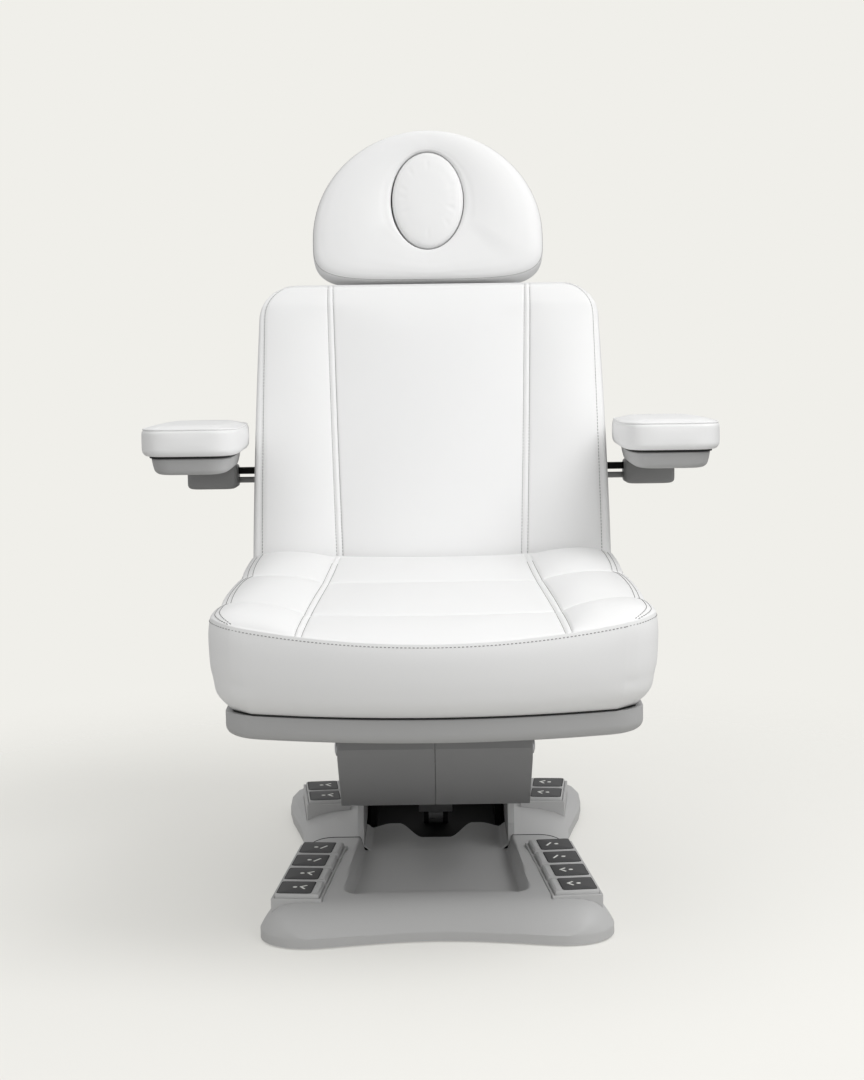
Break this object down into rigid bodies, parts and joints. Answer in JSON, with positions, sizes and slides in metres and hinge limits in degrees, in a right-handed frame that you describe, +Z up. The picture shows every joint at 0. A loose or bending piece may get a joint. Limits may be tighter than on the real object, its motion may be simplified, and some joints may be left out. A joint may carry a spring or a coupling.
{
  "type": "beauty treatment chair",
  "caption": "Electric beauty treatment chair with padded seat, reclining backrest, headrest with removable face plug and fold-up armrests on a lifting base with foot keys.",
  "frame": {"origin": "on the floor below the middle of the object's box", "axes": "+Z up, -Y to the front where the sitter's feet are, +X to the right as seen from the front"},
  "size_m": [0.919, 1.029, 1.1882],
  "materials": {
    "white_leather": "satin",
    "grey_plastic": "satin",
    "dark_plastic": "satin",
    "black_steel": "satin",
    "bright_steel": "satin",
    "rubber": "matte",
    "plywood": "matte"
  },
  "bodies": {
    "base": {"base_frame": "black_steel", "base_front_cover": "grey_plastic", "base_rear_cover_left": "grey_plastic", "base_rear_cover_right": "grey_plastic", "foot_front_left": "rubber", "foot_front_right": "rubber", "foot_rear_left": "rubber", "foot_rear_right": "rubber", "lift_arm_rear_axle": "bright_steel", "lift_link_rear_axle": "bright_steel", "mains_inlet": "dark_plastic", "pedal_housing_front_left": "grey_plastic", "pedal_housing_front_right": "grey_plastic", "pedal_housing_rear_left": "grey_plastic", "pedal_housing_rear_right": "grey_plastic"},
    "lift_actuator": {"lift_actuator": "dark_plastic"},
    "lift_actuator_rod": {"lift_actuator_rod": "bright_steel"},
    "lift_arm": {"lift_arm": "black_steel", "lift_arm_front_axle": "bright_steel", "arm_shroud_left": "dark_plastic", "arm_shroud_right": "dark_plastic"},
    "lift_link": {"lift_link": "black_steel"},
    "carriage": {"carriage": "black_steel", "lift_link_front_axle": "bright_steel", "tilt_jack": "dark_plastic"},
    "tilt_jack_rod": {"tilt_jack_rod": "bright_steel"},
    "seat": {"seat_frame": "black_steel", "seat_pan": "grey_plastic", "seat_cushion": "white_leather", "back_gear_motor": "dark_plastic"},
    "backrest": {"back_board": "plywood", "back_hinge_strap_left": "black_steel", "back_hinge_strap_right": "black_steel", "back_hinge_shaft": "bright_steel", "back_shell": "grey_plastic", "back_cushion": "white_leather", "armrest_bracket_left": "black_steel", "armrest_bracket_right": "black_steel"},
    "headrest_carrier": {"headrest_posts": "bright_steel"},
    "headrest": {"headrest_board": "dark_plastic", "headrest_cushion": "white_leather"},
    "headrest_plug": {"headrest_plug": "white_leather"},
    "armrest_left": {"armrest_hub_left": "grey_plastic", "armrest_shell_left": "grey_plastic", "armrest_pad_left": "white_leather"},
    "armrest_right": {"armrest_hub_right": "grey_plastic", "armrest_shell_right": "grey_plastic", "armrest_pad_right": "white_leather"},
    "foot_key_front_left_1": {"foot_key_front_left_1": "grey_plastic"},
    "foot_key_front_left_2": {"foot_key_front_left_2": "grey_plastic"},
    "foot_key_front_left_3": {"foot_key_front_left_3": "grey_plastic"},
    "foot_key_front_left_4": {"foot_key_front_left_4": "grey_plastic"},
    "foot_key_front_right_1": {"foot_key_front_right_1": "grey_plastic"},
    "foot_key_front_right_2": {"foot_key_front_right_2": "grey_plastic"},
    "foot_key_front_right_3": {"foot_key_front_right_3": "grey_plastic"},
    "foot_key_front_right_4": {"foot_key_front_right_4": "grey_plastic"},
    "foot_key_rear_left_1": {"foot_key_rear_left_1": "grey_plastic"},
    "foot_key_rear_left_2": {"foot_key_rear_left_2": "grey_plastic"},
    "foot_key_rear_right_1": {"foot_key_rear_right_1": "grey_plastic"},
    "foot_key_rear_right_2": {"foot_key_rear_right_2": "grey_plastic"}
  },
  "joints": [
    {"name": "lift", "type": "hinge", "parent": "base", "child": "lift_arm", "pos_m": [0, 0.34846, 0.12], "axis": [-1, 0, 0], "range_deg": [0, 36]},
    {"name": "lift_link_swing", "type": "hinge", "parent": "base", "child": "lift_link", "pos_m": [0, 0.37761, 0.16664], "axis": [-1, 0, 0], "range_deg": [0, 36]},
    {"name": "carriage_level", "type": "hinge", "parent": "lift_arm", "child": "carriage", "pos_m": [0, -0.2017, 0.25717], "axis": [-1, 0, 0], "range_deg": [-36, 0]},
    {"name": "actuator_swing", "type": "hinge", "parent": "base", "child": "lift_actuator", "pos_m": [0, 0.28446, 0.036], "axis": [-1, 0, 0], "range_deg": [0, 30]},
    {"name": "actuator_stroke", "type": "slide", "parent": "lift_actuator", "child": "lift_actuator_rod", "axis": [0, -0.7067, 0.7075], "range_m": [0, 0.0618]},
    {"name": "seat_tilt", "type": "hinge", "parent": "carriage", "child": "seat", "pos_m": [0, 0.19846, 0.3117], "axis": [-1, 0, 0], "range_deg": [0, 10]},
    {"name": "tilt_jack_stroke", "type": "slide", "parent": "carriage", "child": "tilt_jack_rod", "axis": [0, 0, 1], "range_m": [0, 0.0456]},
    {"name": "backrest_recline", "type": "hinge", "parent": "seat", "child": "backrest", "pos_m": [0, 0.25846, 0.385], "axis": [-1, 0, 0], "range_deg": [-5, 70]},
    {"name": "headrest_height", "type": "slide", "parent": "backrest", "child": "headrest_carrier", "axis": [0, 0.309, 0.9511], "range_m": [0, 0.08]},
    {"name": "headrest_tilt", "type": "hinge", "parent": "headrest_carrier", "child": "headrest", "pos_m": [0, 0.48726, 0.98885], "axis": [1, 0, 0], "range_deg": [-30, 3]},
    {"name": "headrest_plug_out", "type": "slide", "parent": "headrest", "child": "headrest_plug", "axis": [0, -0.9511, 0.309], "range_m": [0, 0.12]},
    {"name": "armrest_fold_left", "type": "hinge", "parent": "backrest", "child": "armrest_left", "pos_m": [-0.318, 0.34698, 0.617], "axis": [-1, 0, 0], "range_deg": [0, 62]},
    {"name": "armrest_fold_right", "type": "hinge", "parent": "backrest", "child": "armrest_right", "pos_m": [0.318, 0.34698, 0.617], "axis": [-1, 0, 0], "range_deg": [0, 62]},
    {"name": "press_front_left_1", "type": "slide", "parent": "base", "child": "foot_key_front_left_1", "axis": [0, 0, -1], "range_m": [0, 0.004], "stiffness_N_per_m": 900, "springref_m": -0.002},
    {"name": "press_front_left_2", "type": "slide", "parent": "base", "child": "foot_key_front_left_2", "axis": [0, 0, -1], "range_m": [0, 0.004], "stiffness_N_per_m": 900, "springref_m": -0.002},
    {"name": "press_front_left_3", "type": "slide", "parent": "base", "child": "foot_key_front_left_3", "axis": [0, 0, -1], "range_m": [0, 0.004], "stiffness_N_per_m": 900, "springref_m": -0.002},
    {"name": "press_front_left_4", "type": "slide", "parent": "base", "child": "foot_key_front_left_4", "axis": [0, 0, -1], "range_m": [0, 0.004], "stiffness_N_per_m": 900, "springref_m": -0.002},
    {"name": "press_front_right_1", "type": "slide", "parent": "base", "child": "foot_key_front_right_1", "axis": [0, 0, -1], "range_m": [0, 0.004], "stiffness_N_per_m": 900, "springref_m": -0.002},
    {"name": "press_front_right_2", "type": "slide", "parent": "base", "child": "foot_key_front_right_2", "axis": [0, 0, -1], "range_m": [0, 0.004], "stiffness_N_per_m": 900, "springref_m": -0.002},
    {"name": "press_front_right_3", "type": "slide", "parent": "base", "child": "foot_key_front_right_3", "axis": [0, 0, -1], "range_m": [0, 0.004], "stiffness_N_per_m": 900, "springref_m": -0.002},
    {"name": "press_front_right_4", "type": "slide", "parent": "base", "child": "foot_key_front_right_4", "axis": [0, 0, -1], "range_m": [0, 0.004], "stiffness_N_per_m": 900, "springref_m": -0.002},
    {"name": "press_rear_left_1", "type": "slide", "parent": "base", "child": "foot_key_rear_left_1", "axis": [0, 0, -1], "range_m": [0, 0.004], "stiffness_N_per_m": 900, "springref_m": -0.002},
    {"name": "press_rear_left_2", "type": "slide", "parent": "base", "child": "foot_key_rear_left_2", "axis": [0, 0, -1], "range_m": [0, 0.004], "stiffness_N_per_m": 900, "springref_m": -0.002},
    {"name": "press_rear_right_1", "type": "slide", "parent": "base", "child": "foot_key_rear_right_1", "axis": [0, 0, -1], "range_m": [0, 0.004], "stiffness_N_per_m": 900, "springref_m": -0.002},
    {"name": "press_rear_right_2", "type": "slide", "parent": "base", "child": "foot_key_rear_right_2", "axis": [0, 0, -1], "range_m": [0, 0.004], "stiffness_N_per_m": 900, "springref_m": -0.002}
  ],
  "couplings": [
    {"joint": "lift_link_swing", "follows": "lift", "ratio": 1},
    {"joint": "carriage_level", "follows": "lift", "ratio": -1},
    {"joint": "actuator_swing", "follows": "lift", "ratio": 0.832},
    {"joint": "actuator_stroke", "follows": "lift", "m_per_rad": 0.098},
    {"joint": "tilt_jack_stroke", "follows": "seat_tilt", "m_per_rad": 0.26}
  ]
}
